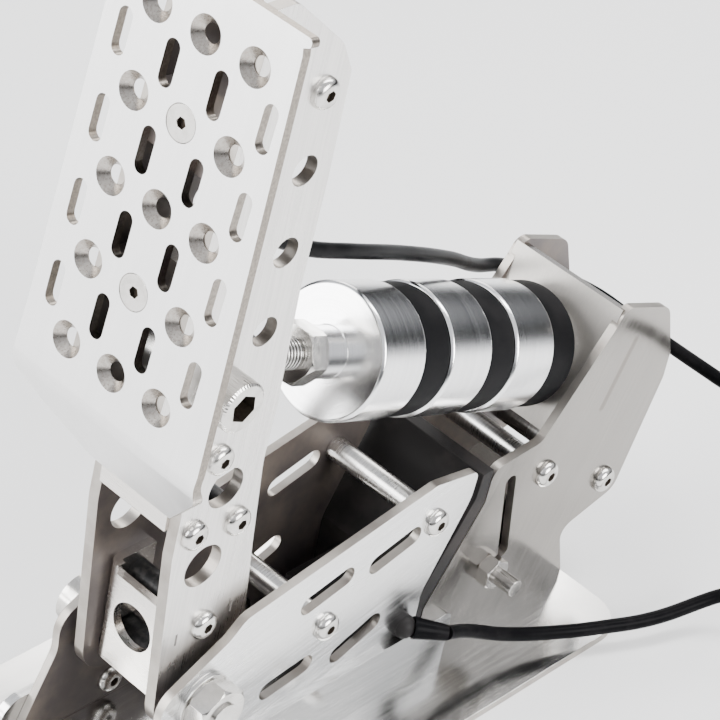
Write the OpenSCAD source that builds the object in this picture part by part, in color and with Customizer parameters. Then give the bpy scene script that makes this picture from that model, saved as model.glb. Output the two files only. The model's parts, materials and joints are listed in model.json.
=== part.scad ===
// Brake pedal module of a sim racing pedal set.
// X runs across the pedal, +Y to the rear, +Z up. The origin lies at the bottom centre of the outline.

/* [Floor and channel] */
// Thickness of the floor plate
floor_t = 3; // [2:0.5:6]
// Width of the floor plate
floor_w = 106; // [96:1:140]
// Distance of the floor plate's rear edge behind the origin
floor_rear = 106; // [100:1:112]
// Radius of the floor plate's corners
floor_corner = 13; // [4:1:20]
// Thickness of the channel's sheet
channel_t = 3; // [2:0.5:4]
// Height of the channel's upstands above the floor plate
upstand_h = 19; // [14:0.5:20]
// Front end of the channel along Y
channel_front = -108; // [-114:1:-104]
// Rear end of the channel along Y
channel_rear = 40; // [36:1:44]
// Distance from a mounting slot's middle to the floor plate's side
mount_edge = 11; // [10:0.5:16]
// Distance between the mounting slots along the floor plate
mount_y = 108; // [90:1:112]
// Place of the mounting slots' centre along Y
mount_mid = -64; // [-66:1:-60]
// Width of a mounting slot
mount_slot_w = 6.6; // [5.5:0.1:8.5]
// Length of a mounting slot, end to end
mount_slot_l = 14; // [10:0.5:18]

/* [Cheeks] */
// Distance from the middle to a cheek's inner face
cheek_in = 21; // [20.6:0.1:24]
// Thickness of a cheek
cheek_t = 3; // [2:0.5:4]
// Width of a slot in a cheek
cheek_slot_w = 7.2; // [4:0.2:8]
// Diameter of a cross spacer
spacer_d = 8; // [8:0.5:12]

/* [Pivot] */
// Place of the pivot along Y
pivot_y = -74; // [-76:0.5:-72]
// Height of the pivot above the ground
pivot_z = 44; // [42:0.5:46]
// Diameter of the pivot bolt
pivot_d = 10; // [8:0.5:12]
// Outer diameter of the arm's pivot sleeve
sleeve_d = 14; // [13:0.5:15]
// Radial clearance of a running fit
fit_gap = 0.05; // [0.02:0.01:0.09]
// Side clearance between moving faces
side_gap = 0.3; // [0.2:0.05:0.6]
// Radial clearance of a plain bolt hole
bolt_gap = 0.25; // [0.1:0.05:0.5]
// Width across the flats of the pivot's nut and the rod's nuts
nut_af = 17; // [15:0.5:19]

/* [Arm] */
// Distance from the middle to an arm plate's inner face
arm_in = 13.7; // [13:0.1:14.5]
// Thickness of an arm plate
arm_t = 4; // [3:0.5:4.5]
// Diameter of the light holes in the arm plates
arm_hole_d = 9.4; // [7:0.2:11]
// Thickness of the front web
web_t = 3; // [2:0.5:3.5]
// Diameter of the large hole in the front web
web_hole_d = 16; // [12:0.5:18]

/* [Foot plate] */
// Lean of the foot plate from upright, in degrees
lean = 9.07; // [7:0.5:11]
// Distance of the foot plate's middle in front of the pivot
pad_fore = 26; // [24:0.5:28]
// Height of the foot plate's middle above the pivot
pad_up = 171.7; // [168:0.5:175]
// Thickness of the foot plate
pad_t = 3; // [2:0.5:4]
// Half the foot plate's width on the left
pad_left = 35; // [32:0.5:38]
// Half the foot plate's width at the top right
pad_right_top = 31.2; // [30.5:0.1:33]
// Half the foot plate's width at the bottom right
pad_right_low = 37.8; // [35:0.1:40]
// Length of the foot plate above its middle
pad_top = 66.6; // [62:0.2:70]
// Length of the flat foot plate below its middle
pad_flat = 67; // [62:0.5:69]
// Depth of the folded lip below the flat part, seen square to the plate
lip_l = 28; // [24:0.5:30]
// Fold of the lip, in degrees
lip_fold = 38; // [34:1:42]
// Distance between holes across the foot plate
pitch_x = 18; // [16:0.5:18.5]
// Distance between rows of holes and slots on the foot plate
pitch_row = 12.8; // [12:0.1:13.4]
// Diameter of a countersink's mouth
sink_d = 10.8; // [9:0.2:11.4]
// Diameter of the hole below a countersink
sink_hole_d = 5.5; // [4.5:0.1:6]
// Width of a slot in the foot plate
pad_slot_w = 5; // [4:0.2:6]
// Length of a slot in the foot plate, end to end
pad_slot_l = 14; // [11:0.5:15]

/* [Push rod and stack] */
// Distance of the cross screw in front of the pivot
pin_fore = 9.02; // [8.5:0.02:9.5]
// Height of the cross screw above the pivot
pin_up = 115.86; // [115:0.02:117]
// Diameter of the cross screw
pin_d = 10; // [9:0.5:11]
// Diameter of the cross screw's head
pin_head_d = 16; // [15:0.5:17]
// Height of the cross screw's head
pin_head_l = 9.5; // [8:0.5:10]
// Width across the flats of the cross screw's socket
pin_socket_af = 8; // [6:0.5:8.5]
// Tilt of the push rod down to the rear, in degrees
rod_tilt = 21; // [20:0.5:22]
// Diameter of the push rod's thread
rod_d = 10; // [8:0.5:11]
// Diameter of the push rod's eye
eye_d = 24; // [20:0.5:25]
// Width of the push rod's eye
eye_w = 15; // [12:0.5:15]
// Distance from the cross screw to the first disc
stack_at = 69.7; // [68:0.1:71]
// Diameter of the first disc's boss
boss_d = 16; // [13:0.5:18]
// Length of the first disc's boss
boss_l = 10; // [6:0.5:12]
// Diameter of a disc
disc_d = 42.3; // [36:0.5:44]
// Length of a disc
disc_l = 22; // [20:0.5:23]
// Diameter of a rubber
rubber_d = 41; // [34:0.5:42]
// Length of a rubber at rest
rubber_l = 13.8; // [12:0.2:14.5]
// Diameter of the rear hub
hub_d = 26; // [22:0.5:30]
// Length of the rear hub's body
hub_l = 4.8; // [4:0.2:7]

/* [Rear bracket] */
// Thickness of the bracket's sheet
bracket_t = 3; // [2:0.5:4]
// Thickness of the web that takes the rod's thrust
thrust_t = 4; // [3:0.5:5]
// Width of the long slot in a flange
bracket_slot_w = 5; // [4:0.5:6]

/* [Sensor and lead] */
// Side of the load cell's square section
cell_w = 12.7; // [10:0.1:13]
// Diameter of the lead
lead_d = 4.8; // [4:0.1:5.5]
// Height of the lead's gland above the ground
gland_z = 26.3; // [26.3:0.1:27]
// Place of the lead's gland along Y
gland_y = 17; // [16:0.5:18]
// Direction of the boot, in degrees from straight out to the rear
boot_turn = 50; // [45:1:55]
// Diameter of the lead's gland in the right cheek
gland_d = 8; // [7:0.2:9]
// Width of the amplifier box
box_w = 30; // [26:1:34]
// Length of the amplifier box along Y
box_l = 27; // [24:1:28]
// Height of the amplifier box
box_h = 28; // [24:1:30]

/* [Screws] */
// Diameter of the small screws
screw_d = 5; // [4:0.5:5.5]
// Diameter of a button head
button_d = 9.5; // [8:0.1:10]
// Height of a button head
button_h = 2.75; // [2:0.05:3]
// Width across the flats of a socket
socket_af = 3; // [2.5:0.1:3.5]
// Thread clearance between a screw and its hole
thread_gap = 0.02; // [0.01:0.01:0.05]
// Diameter of the bolt through the rear bracket
bolt_d = 6; // [5:0.5:8]
// Width across the flats of that bolt's head and nut
bolt_af = 10; // [8:0.5:13]
// Outer diameter of the M10 washers
washer_d = 20; // [18:0.5:22]
// Thickness of the pivot's washers
washer_t = 1.6; // [1.2:0.1:2.4]

/* [Hidden] */
steel = "silver";
bright = "gainsboro";
dark = "dimgray";
black = "black";

// Corners get this many flats, bores and shafts this many sides
corner_n = 6;
bore_n = 48;
screw_n = 24;
// A slot's middle is this much narrower on each side than its round ends
blend = 0.01;

// Depth of the lead's gland in the amplifier box and thickness of its rim
gland_in = 6;
gland_rim = 1.6;

// Levels and faces that several pieces share
mount_x = floor_w - 2 * mount_edge;
cheek_out = cheek_in + cheek_t;
channel_out = cheek_out + channel_t;
deck = floor_t + channel_t;
upstand_top = floor_t + upstand_h;
arm_out = arm_in + arm_t;
pivot = [pivot_y, pivot_z];
pad_at = [pivot_y - pad_fore, pivot_z + pad_up];
pin_at = [pivot_y - pin_fore, pivot_z + pin_up];

// Points on the rod's axis, measured from the cross screw
pitch_stack = disc_l + rubber_l;
stack_gap = 0.01;
disc_at = [for (i = [0:2]) stack_at + i * pitch_stack];
rubber_at = [for (i = [0:2]) disc_at[i] + disc_l];
hub_at = stack_at + 3 * pitch_stack;
nose_r = 12;
nose_gap = 0.4;
nose_at = hub_at + hub_l + 2.8 - nose_r;
seat_l = 3.2;
seat_at = hub_at + hub_l + 0.6;
thrust_at = seat_at + seat_l;
washer_l = 1.5;
bolt_nut_l = 5;
pivot_nut_l = 7.5;
pin_nut_l = 8;
washer_at = thrust_at + thrust_t + nose_gap;
nut_l = 8;
nut_at = washer_at + washer_l;
rod_end = nut_at + nut_l + 2.6;
function on_axis(l) = pin_at + l * [cos(rod_tilt), -sin(rod_tilt)];
seat = on_axis(thrust_at);

// A point of the foot plate's side view: up along the plate and out of its front face
function on_pad(up, out) = pad_at + up * [sin(lean), cos(lean)] + out * [-cos(lean), sin(lean)];

// The lower edge of the folded lip in the foot plate's side view, as [up, out]
lip_low = -pad_flat - lip_l;
lip_back = lip_l * tan(lip_fold);

// The rear bracket's rearmost face sets the front edge of the floor plate
bracket_back = seat.x + 43.6;
floor_front = -bracket_back;

// Places of the cross spacers, the arm's screws, the light holes and the bracket's screws in side view
cheek_spots = [[-22, 46], [23, 66]];
foot_spots = [[-66, 14], [-38, 14], [-10, 14]];
arm_spots = [pivot + [10.9, 205.5], pin_at + [4.62, -26.06], pivot + [7.9, 61.6], pivot + [-9.6, 64.6],
    pivot + [1.4, 24.8]];
light_spots = [pivot + [9.3, 181.5], pivot + [7.8, 155.6], pivot + [5.2, 130.2]];
small_spots = [[pin_at + [9.92, -39.06], 13.5], [pivot + [-2.9, 49.5], 14.5]];
bracket_spots = [seat + [-12.4, -33], seat + [23, -51.7]];
bolt_spot = seat + [-32.7, -63.5];
bracket_foot_spots = [60, 90];

// The front edge of the rear bracket's flanges, from the floor up. The black pad lies against it
flange_front = [[28, deck], [28, 27], [47.8, 62], [48.6, 75]];
pad_gap = 0.1;
// Diameter of the bars between the arm plates
arm_bar_d = 9;
bar_side = 12;
bar_deep = 24;
cell_front = -(pad_t + bar_deep);
cell_screw_d = 4;
cell_bore_d = 8.5;
cell_tops = [2 * pitch_row - 8.6, 2 * pitch_row - 1.1];
cell_top = cell_tops[1] + 5.5;

// The cross screw seen from the foot plate, as [up, out]: the load cell ends above the rod's eye
pin_pad = [(pin_at.x - pad_at.x) * sin(lean) + (pin_at.y - pad_at.y) * cos(lean),
    (pin_at.y - pad_at.y) * sin(lean) - (pin_at.x - pad_at.x) * cos(lean)];
cell_low = pin_pad.x + eye_d / 2 + 1.6;
cell_lows = [cell_low + 12, cell_low + 4];
cell_bores = [for (side = [-1, 1]) (cell_lows[0] + cell_tops[0]) / 2 + side * 7];
yoke_front = -pad_t - bar_side - 0.8;
yoke_in = eye_w / 2 + 0.5;
yoke_out = arm_in - side_gap;

// The sides of a rounded outline: each point is [x, y, radius]
function unit(v) = v / norm(v);
function turn(a) = a > 180 ? a - 360 : a < -180 ? a + 360 : a;
function corner(a, p, b, r) =
    let (u = unit(a - p), w = unit(b - p), half = acos(u * w) / 2,
        mid = p + unit(u + w) * r / sin(half),
        from = p + u * r / tan(half) - mid, to = p + w * r / tan(half) - mid,
        start = atan2(from.y, from.x), sweep = turn(atan2(to.y, to.x) - start))
    [for (i = [0:corner_n]) mid + r * [cos(start + sweep * i / corner_n), sin(start + sweep * i / corner_n)]];
function flat(p) = [p.x, p.y];
function rounded(pts) =
    let (n = len(pts))
    [for (i = [0:n - 1]) each (pts[i][2] > 0
        ? corner(flat(pts[(i + n - 1) % n]), flat(pts[i]), flat(pts[(i + 1) % n]), pts[i][2])
        : [flat(pts[i])])];
function with_r(p, r) = [p.x, p.y, r];

// A sheet seen from the side, from x0 and t thick along X
module side_sheet(x0, t, pts) {
    translate([x0, 0, 0]) rotate([90, 0, 90]) linear_extrude(t) polygon(rounded(pts));
}

// A bar along X from x0 to x1 through the side view's point at
module across(x0, x1, d, at, n = bore_n) {
    translate([x0, at.x, at.y]) rotate([0, 90, 0]) cylinder(h = x1 - x0, d = d, $fn = n);
}

// The outline of a slot, from the middle of one end to the middle of the other
function slot_outline(w, a, b, n = 8) =
    let (along = atan2(b.y - a.y, b.x - a.x))
    [for (end = [0, 1]) for (i = [0:n]) (end == 0 ? a : b)
        + w / 2 * [cos(along + 90 + 180 * end + 180 * i / n), sin(along + 90 + 180 * end + 180 * i / n)]];

// A slot through a sheet in side view
module side_slot(x0, x1, w, a, b) {
    translate([x0, 0, 0]) rotate([90, 0, 90]) linear_extrude(x1 - x0) polygon(slot_outline(w, a, b));
}

// A plain hexagonal socket, from its mouth down
module socket(deep) {
    translate([0, 0, -deep]) cylinder(h = deep + 1, d = socket_af / cos(30), $fn = 6);
}

// A button head screw along +Z: the head stands above z = 0, the shank reaches down
module button(shank) {
    difference() {
        union() {
            rotate_extrude($fn = screw_n) polygon([[0, 0], [button_d / 2, 0], [button_d / 2, 0.5],
                [button_d * 0.44, button_h * 0.62], [button_d * 0.34, button_h * 0.88],
                [button_d * 0.26, button_h], [0, button_h]]);
            translate([0, 0, -shank]) cylinder(h = shank + 0.01, d = screw_d, $fn = screw_n);
        }
        translate([0, 0, button_h]) socket(1.6);
    }
}

// A button screw along X with its head's seat on the face x, pointing out to the side given
module side_button(x, at, out, shank) {
    translate([x, at.x, at.y]) rotate([0, 90 * out, 0]) button(shank);
}

// Pieces placed on the push rod: +Z runs down the rod to the rear
module on_rod(l) {
    at = on_axis(l);
    translate([0, at.x, at.y]) rotate([-90 - rod_tilt, 0, 0]) children();
}

// Pieces placed on the foot plate: +Y runs up the plate, +Z out of its front face
module on_plate() {
    translate([0, pad_at.x, pad_at.y]) rotate([90 - lean, 0, 0]) children();
}

module ring(d, bore, l, n = bore_n) {
    difference() {
        cylinder(h = l, d = d, $fn = n);
        translate([0, 0, -1]) cylinder(h = l + 2, d = bore, $fn = n);
    }
}

module hex_nut(af, bore, l) {
    difference() {
        intersection() {
            cylinder(h = l, d = af / cos(30), $fn = 6);
            translate([0, 0, -0.3]) cylinder(h = l / 2 + 0.3, d1 = af - 0.2, d2 = af + l, $fn = bore_n);
        }
        translate([0, 0, -1]) cylinder(h = l + 2, d = bore, $fn = bore_n);
    }
    difference() {
        translate([0, 0, l / 2]) intersection() {
            cylinder(h = l / 2, d = af / cos(30), $fn = 6);
            translate([0, 0, -l / 2]) cylinder(h = l + 0.3, d1 = af + 2 * l, d2 = af - 0.2, $fn = bore_n);
        }
        translate([0, 0, -1]) cylinder(h = l + 2, d = bore, $fn = bore_n);
    }
}

// Base

module floor_plate() {
    front = floor_front;
    rear = floor_rear;
    half = floor_w / 2;
    color(steel) difference() {
        linear_extrude(floor_t) polygon(rounded([[-half, front, floor_corner], [half, front, floor_corner],
            [half, rear, floor_corner], [-half, rear, floor_corner]]));
        for (x = [-1, 1] * mount_x / 2, y = [-1, 1] * mount_y / 2) translate([x, mount_mid + y, -1]) {
            for (e = [-1, 1] * (mount_slot_l - mount_slot_w) / 2)
                translate([e, 0, 0]) cylinder(h = floor_t + 2, d = mount_slot_w, $fn = bore_n);
            translate([-(mount_slot_l - mount_slot_w) / 2, -mount_slot_w / 2 + blend, 0])
                cube([mount_slot_l - mount_slot_w, mount_slot_w - 2 * blend, floor_t + 2]);
        }
        for (x = [-1, 1] * cheek_in / 2, y = bracket_foot_spots)
            translate([x, y, -1]) cylinder(h = floor_t + 2, d = screw_d + 2 * thread_gap, $fn = screw_n);
    }
}

module base_channel() {
    length = channel_rear - channel_front;
    color(steel) difference() {
        union() {
            translate([-channel_out, channel_front, floor_t]) cube([2 * channel_out, length, channel_t]);
            for (x = [-channel_out, cheek_out])
                side_sheet(x, channel_t, [[channel_front, floor_t, 0], [channel_front, upstand_top, 8],
                    [channel_rear, upstand_top, 3], [channel_rear, floor_t, 0]]);
        }
        for (at = foot_spots) for (x = [-cheek_out - 2.5, cheek_out - 1])
            across(x, x + 3.5, screw_d + 2 * thread_gap, at, screw_n);
    }
}

module cheek(x0) {
    difference() {
        side_sheet(x0, cheek_t, [[-104, deck, 0], [pivot.x - 16.5, pivot.y - 6, 12],
            [pivot.x - 17, pivot.y + 6, 9], [pivot.x + 8, pivot.y + 19, 10], [-60, 68.6, 6],
            [20, 82.2, 6], [40.2, 78.6, 3], [39.5, 68, 20], [24.6, 36, 12], [24.2, deck, 0]]);
        across(x0 - 1, x0 + cheek_t + 1, pivot_d + 2 * bolt_gap, pivot);
        for (at = cheek_spots)
            across(x0 - 1, x0 + cheek_t + 1, screw_d + 2 * bolt_gap, at, screw_n);
        for (at = foot_spots)
            across(x0 - 1, x0 + cheek_t + 1, screw_d + 2 * bolt_gap, at, screw_n);
        side_slot(x0 - 1, x0 + cheek_t + 1, cheek_slot_w, [-32, 59.6], [-16.6, 63.1]);
        side_slot(x0 - 1, x0 + cheek_t + 1, cheek_slot_w, [-2.3, 61.1], [13.1, 64.9]);
        side_slot(x0 - 1, x0 + cheek_t + 1, cheek_slot_w, [-12.6, 29.3], [2, 34.6]);
        side_slot(x0 - 1, x0 + cheek_t + 1, cheek_slot_w, [-43.8, 30.9], [-28.3, 33.1]);
    }
}

module left_cheek() {
    color(steel) cheek(-cheek_out);
}

module right_cheek() {
    color(steel) difference() {
        cheek(cheek_in);
        across(cheek_in - 1, cheek_out + 1, gland_d + 0.4, [gland_y, gland_z]);
    }
}

module cheek_spacers() {
    color(bright) for (at = cheek_spots) difference() {
        across(-cheek_in, cheek_in, spacer_d, at);
        for (x = [-cheek_in - 1, cheek_in - 9])
            across(x, x + 10, screw_d + 2 * thread_gap, at, screw_n);
    }
}

module cheek_screws() {
    color(bright) for (at = cheek_spots, out = [-1, 1]) side_button(out * cheek_out, at, out, cheek_t + 8);
}

module foot_screws() {
    color(bright) for (at = foot_spots, out = [-1, 1]) side_button(-out * cheek_in, at, out, cheek_t + 2.2);
}

module rear_bracket() {
    flange = [with_r(flange_front[0], 0), with_r(flange_front[1], 0), with_r(flange_front[2], 0),
        with_r(flange_front[3], 5), with_r(seat + [-19, -17], 4), with_r(seat + [7, 18.5], 4),
        with_r(seat + [10.2, 25], 5), with_r(seat + [35.4, 15.3], 8), [bracket_back, seat.y - 6.5, 5],
        [bracket_back, seat.y - 17, 8], with_r(seat + [31.6, -59.7], 6), with_r(seat + [5.6, -66.3], 5),
        [103, deck, 2], [103, floor_t, 0], [channel_rear + 0.5, floor_t, 0], [channel_rear + 0.5, deck, 0]];
    fold = [[102.6, floor_t, 0], [102.6, deck, 0], with_r(seat + [5.6, -66.3], 0),
        with_r(seat + [23.6, -61.7], 0), with_r(seat + [23, -59.2], 0), with_r(seat + [2.35, -64.5], 0),
        [100, deck, 0], [100, floor_t, 0]];
    color(steel) difference() {
        union() {
            for (x = [-cheek_out, cheek_out - bracket_t]) side_sheet(x, bracket_t, flange);
            translate([-cheek_out + 1, channel_rear + 0.5, floor_t])
                cube([2 * cheek_out - 2, 103 - channel_rear - 0.5, bracket_t]);
            side_sheet(-cheek_out + 1, 2 * cheek_out - 2, fold);
            on_rod(thrust_at) translate([-cheek_out + 1, -25.5, 0]) cube([2 * cheek_out - 2, 49.5, thrust_t]);
        }
        on_rod(thrust_at - 1) cylinder(h = thrust_t + 2, d = rod_d + 4, $fn = bore_n);
        for (at = bracket_spots)
            across(-cheek_out - 1, cheek_out + 1, screw_d + 2 * bolt_gap, at, screw_n);
        across(-cheek_out - 1, cheek_out + 1, bolt_d + 2 * bolt_gap, bolt_spot, screw_n);
        side_slot(cheek_out - bracket_t - 1, cheek_out + 1, bracket_slot_w,
            seat + [-31.1, -28], seat + [-25.6, -60]);
        for (x = [-1, 1] * cheek_in / 2, y = bracket_foot_spots)
            translate([x, y, 0]) cylinder(h = deck + 1, d = screw_d + 2 * bolt_gap, $fn = screw_n);
    }
}

module bracket_spacers() {
    half = cheek_out - bracket_t;
    color(bright) for (at = bracket_spots) difference() {
        across(-half, half, spacer_d, at);
        for (x = [-half - 1, half - 9]) across(x, x + 10, screw_d + 2 * thread_gap, at, screw_n);
    }
}

module bracket_screws() {
    color(bright) for (at = bracket_spots, out = [-1, 1])
        side_button(out * cheek_out, at, out, bracket_t + 8);
}

module bracket_bolt() {
    head = 4;
    color(bright) {
        across(-cheek_out - head, cheek_out + bolt_nut_l + 8, bolt_d, bolt_spot, screw_n);
        translate([-cheek_out - head, bolt_spot.x, bolt_spot.y]) rotate([0, 90, 0])
            cylinder(h = head, d = bolt_af / cos(30), $fn = 6);
    }
}

module bracket_nut() {
    color(bright) translate([cheek_out, bolt_spot.x, bolt_spot.y]) rotate([0, 90, 0])
        hex_nut(bolt_af, bolt_d + 2 * thread_gap, bolt_nut_l);
}

module bracket_foot_screws() {
    color(bright) for (x = [-1, 1] * cheek_in / 2, y = bracket_foot_spots)
        translate([x, y, floor_t + bracket_t]) button(bracket_t + floor_t - 0.5);
}

// A black pad that closes the gap between the cheeks and the bracket, seen from the side
module bracket_pad() {
    lie = [-pad_gap, 0];
    color(black) side_sheet(-cheek_out + 0.2, 2 * cheek_out - 0.4, [[24.6, deck, 0], [25, 35.6, 0],
        [42.4, 66, 0], [43.4, 75.4, 0], [48.5, 75.4, 0], with_r(flange_front[2] + lie, 0),
        with_r(flange_front[1] + lie, 0), with_r(flange_front[0] + lie, 0)]);
}

// Part of the ball that the hub's nose and its seat share, as seen from the ball's middle
function ball(r, from, to, n = 4) = [for (i = [0:n]) let (a = from + (to - from) * i / n) r * [sin(a), cos(a)]];

module rod_seat() {
    bore = rod_d / 2 + 1.5;
    r = nose_r + nose_gap;
    face = seat_at - nose_at;
    color(bright) on_rod(nose_at) rotate_extrude($fn = bore_n) polygon(concat(
        [[bore, face + seat_l], [hub_d / 2, face + seat_l], [hub_d / 2, face]],
        ball(r, acos(face / r), asin(bore / r))));
}

module pivot_bolt() {
    face = cheek_out + washer_t;
    head = 6.4;
    color(bright) {
        across(-face, face + pivot_nut_l + 1, pivot_d, pivot);
        difference() {
            across(-face - head, -face, nut_af, pivot);
            translate([-face - head, pivot.x, pivot.y]) rotate([0, -90, 0])
                translate([0, 0, -4]) cylinder(h = 5, d = 8 / cos(30), $fn = 6);
        }
    }
}

module pivot_nut() {
    color(bright) translate([cheek_out + washer_t, pivot.x, pivot.y]) rotate([0, 90, 0])
        hex_nut(nut_af, pivot_d + 2 * thread_gap, pivot_nut_l);
}

module pivot_washers() {
    color(bright) for (x = [-cheek_out - washer_t, cheek_out]) translate([x, pivot.x, pivot.y])
        rotate([0, 90, 0]) ring(washer_d, pivot_d + 2 * thread_gap, washer_t);
}

module amplifier_box() {
    color(dark) difference() {
        translate([cheek_in - side_gap - box_w, gland_y + 6.5 - box_l, deck]) cube([box_w, box_l, box_h]);
        translate([cheek_in - gland_in, gland_y, gland_z]) rotate([0, 90, 0])
            cylinder(h = gland_in + 1, d = gland_d + 2 * thread_gap, $fn = bore_n);
    }
}

module lead_gland() {
    color(black) {
        across(cheek_in - gland_in, cheek_out, gland_d, [gland_y, gland_z]);
        across(cheek_out, cheek_out + gland_rim, gland_d + 0.4, [gland_y, gland_z]);
        translate([cheek_out + gland_rim, gland_y, gland_z]) sphere(d = gland_d, $fn = bore_n);
    }
}

// Way that the boot points, and the point where the lead leaves it
boot_dip = 0.12;
boot_way = [cos(boot_turn), sin(boot_turn), -boot_dip];
boot_root = [cheek_out + gland_rim, gland_y, gland_z] + 3.6 * unit(boot_way);
boot_l = 11;
boot_end = boot_root + boot_l * unit(boot_way);

module lead_boot() {
    color(black) difference() {
        translate([cheek_out + gland_rim, gland_y, gland_z]) rotate([0, 0, boot_turn])
            rotate([0, 90 + atan2(boot_dip, 1), 0]) translate([0, 0, 3])
            cylinder(h = boot_l + 0.6, d1 = gland_d - 0.4, d2 = lead_d + 0.6, $fn = bore_n);
        translate([cheek_out + gland_rim, gland_y, gland_z]) sphere(d = gland_d, $fn = bore_n);
    }
}

// The lead's route from the load cell's gland, round the left of the bracket and back to the boot
cell_gland_up = cell_lows[0] + 9;
cell_gland_l = 9;
cell_gland_end = on_pad(cell_gland_up, cell_front - cell_w - cell_gland_l);
lead_route = [[0, -46, 185], [0, -36, 179], [-2, -13, 168], [-9, 19, 151], [-19, 59, 127.5],
    [-26, 85, 110.5], [-28.5, 101, 103], [-30, 118, 93], [-28, 134, 86], [-19, 146, 80],
    [-5, 152, 75], [10, 154, 73], [32, 155, 72], [50, 156, 71], [68, 156, 62], [79, 151, 46],
    [80, 143, 30], [76, 135, 19], [70, 128, 14], [62, 106, 10], [54, 88, 9.5], [47.5, 74, 10],
    [40, 54, 14], [35.5, 39, 20]];
lead_points = concat([[0, cell_gland_end.x, cell_gland_end.y]], lead_route, [boot_end]);
lead_sides = 10;
steps = 2;

// A smooth curve through the route's points
function smooth(a, b, c, d, t) =
    0.5 * (2 * b + (c - a) * t + (2 * a - 5 * b + 4 * c - d) * t * t + (3 * b - a - 3 * c + d) * t * t * t);
function spline(p) =
    let (n = len(p))
    [for (i = [0:n - 2]) for (s = [0:steps - 1])
        smooth(p[max(i - 1, 0)], p[i], p[i + 1], p[min(i + 2, n - 1)], s / steps), p[n - 1]];
// One ring of the tube: square to the way from the point before to the point after
function ways(p) = let (n = len(p)) [for (i = [0:n - 1]) unit(p[min(i + 1, n - 1)] - p[max(i - 1, 0)])];
function carried(side, way) = unit(side - (side * way) * way);
function sides_of(w, i = 0, last = [1, 0, 0]) =
    i == len(w) ? [] : let (s = carried(last, w[i])) concat([s], sides_of(w, i + 1, s));
function tube_ring(c, way, side, r) =
    let (up = cross(way, side))
    [for (k = [0:lead_sides - 1]) c + r * (cos(360 * k / lead_sides) * side + sin(360 * k / lead_sides) * up)];

module tube(p, end_way_a, end_way_b, d) {
    n = len(p);
    w0 = ways(p);
    w = [for (i = [0:n - 1]) i == 0 ? end_way_a : i == n - 1 ? end_way_b : w0[i]];
    s = sides_of(w);
    rings = [for (i = [0:n - 1]) each tube_ring(p[i], w[i], s[i], d / 2)];
    m = lead_sides;
    walls = [for (i = [0:n - 2], k = [0:m - 1]) let (a = i * m + k, b = i * m + (k + 1) % m)
        each [[b + m, b, a], [a + m, b + m, a]]];
    caps = [[for (k = [0:m - 1]) k], [for (k = [m - 1:-1:0]) (n - 1) * m + k]];
    polyhedron(rings, concat(walls, caps));
}

module lead() {
    color(black) tube(spline(lead_points), [0, cos(lean), -sin(lean)], -unit(boot_way), lead_d);
}

// Arm

function arm_outline() = [with_r(pivot + [-12.7, -13], 12), with_r(pivot + [14, -14], 12),
    with_r(pivot + [20, 20], 8), with_r(pivot + [17.4, 48], 30), with_r(pivot + [15.2, 80], 30),
    with_r(pivot + [16.6, 100], 20), with_r(pivot + [16.9, 140], 60),
    with_r(pivot + [19.5, 175], 60), with_r(pivot + [20.6, 209], 5), with_r(pivot + [15.5, 219], 12),
    with_r(pivot + [-5, 237], 5), with_r(on_pad(pad_top, -pad_t), 0), with_r(on_pad(-62, -pad_t), 0),
    with_r(on_pad(lip_low + 1, -lip_back - pad_t - 0.4), 4), with_r(pivot + [-16.7, 58.7], 20)];

module arm_plate(x0) {
    difference() {
        side_sheet(x0, arm_t, arm_outline());
        across(x0 - 1, x0 + arm_t + 1, sleeve_d + 2 * thread_gap, pivot);
        across(x0 - 1, x0 + arm_t + 1, pin_d + 0.8, pin_at);
        for (at = light_spots) across(x0 - 1, x0 + arm_t + 1, arm_hole_d, at);
        for (s = small_spots) across(x0 - 1, x0 + arm_t + 1, s[1], s[0]);
        for (at = arm_spots) across(x0 - 1, x0 + arm_t + 1, screw_d + 2 * bolt_gap, at, screw_n);
    }
}

module left_arm_plate() {
    color(steel) arm_plate(-arm_out);
}

module right_arm_plate() {
    color(steel) arm_plate(arm_in);
}

module arm_sleeve() {
    half = cheek_in - side_gap;
    color(bright) translate([-half, pivot.x, pivot.y]) rotate([0, 90, 0])
        ring(sleeve_d, pivot_d + 2 * fit_gap, 2 * half);
}

module arm_spacers() {
    color(bright) for (at = arm_spots) difference() {
        across(-arm_in, arm_in, arm_bar_d, at);
        for (x = [-arm_in - 1, arm_in - 8]) across(x, x + 9, screw_d + 2 * thread_gap, at, screw_n);
    }
}

module arm_screws() {
    color(bright) for (at = arm_spots, out = [-1, 1]) side_button(out * arm_out, at, out, arm_t + 7);
}

// A sheet folded into a U between the arm plates, seen from above
module front_web() {
    face = pivot.x - 9;
    low = pivot.y - 4;
    high = 37;
    bend = web_t + 1;
    deep = 17;
    free = 12;
    hole_up = 19.6;
    notch = [18, 3];
    inner = arm_in - web_t;
    color(steel) difference() {
        translate([0, 0, low]) linear_extrude(high) polygon(rounded([[-arm_in, face + deep, 0],
            [-arm_in, face, bend], [arm_in, face, bend], [arm_in, face + deep, 0], [inner, face + deep, 0],
            [inner, face + web_t, 1], [-inner, face + web_t, 1], [-inner, face + deep, 0]]));
        translate([0, face - 1, low + hole_up]) rotate([-90, 0, 0])
            cylinder(h = web_t + 2, d = web_hole_d, $fn = bore_n);
        translate([-notch.x / 2, face - 1, low + high - notch.y]) cube([notch.x, web_t + 2, notch.y + 1]);
        translate([-arm_in - 1, face + bend, low - 1]) cube([2 * arm_in + 2, deep, free + 1]);
        across(-arm_in - 1, arm_in + 1, sleeve_d + 2 * thread_gap, pivot);
        across(-arm_in - 1, arm_in + 1, arm_bar_d + 2 * thread_gap, arm_spots[4]);
    }
}

module lip_block() {
    color(steel) translate([-arm_in, pivot.x - 17.6, pivot.y + 66.5]) cube([2 * arm_in, 3.2, 6.5]);
}

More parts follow.
